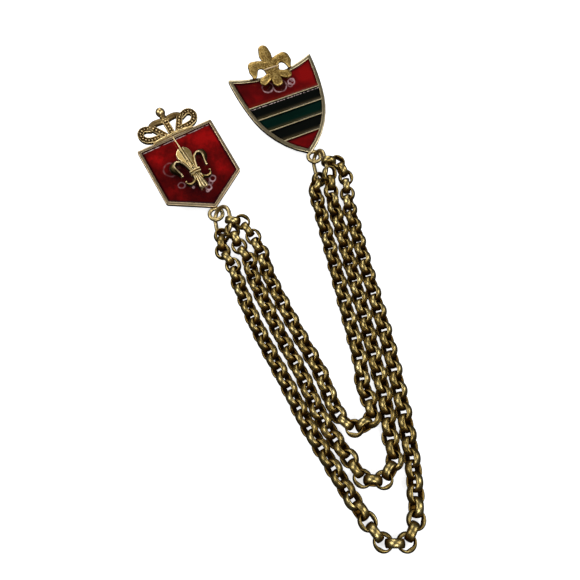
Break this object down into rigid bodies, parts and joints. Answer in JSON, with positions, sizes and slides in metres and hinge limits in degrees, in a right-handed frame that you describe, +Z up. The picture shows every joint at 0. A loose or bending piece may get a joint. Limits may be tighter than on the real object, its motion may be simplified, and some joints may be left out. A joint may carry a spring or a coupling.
{
  "type": "chatelaine brooch",
  "caption": "Chatelaine brooch: an enamelled crowned shield pin and an enamelled pointed shield pin, each with a fleur-de-lis, joined by nested belcher chains.",
  "frame": {"origin": "middle of the whole brooch's box in plan, on the surface it lies on", "axes": "+Z up from the surface; +Y along the longest extent, towards the shields; +X towards the pointed shield's side"},
  "size_m": [0.0748, 0.143, 0.0138],
  "materials": {
    "pale_gold": "polished, worn",
    "antique_gold": "antiqued, with dark recesses",
    "red_enamel": "glossy",
    "black_enamel": "glossy",
    "green_enamel": "glossy"
  },
  "bodies": {
    "root": {"crowned_frame": "pale_gold", "crowned_enamel": "red_enamel", "crowned_fleur": "antique_gold", "crowned_pin": "pale_gold", "pointed_frame": "pale_gold", "red_chief_enamel": "red_enamel", "upper_black_enamel": "black_enamel", "green_enamel": "green_enamel", "lower_black_enamel": "black_enamel", "red_tip_enamel": "red_enamel", "pointed_fleur": "antique_gold", "pointed_pin": "pale_gold", "left_jump_ring": "antique_gold", "right_jump_ring": "antique_gold", "outer_chain": "antique_gold", "middle_chain": "antique_gold", "inner_chain": "antique_gold"}
  },
  "joints": []
}
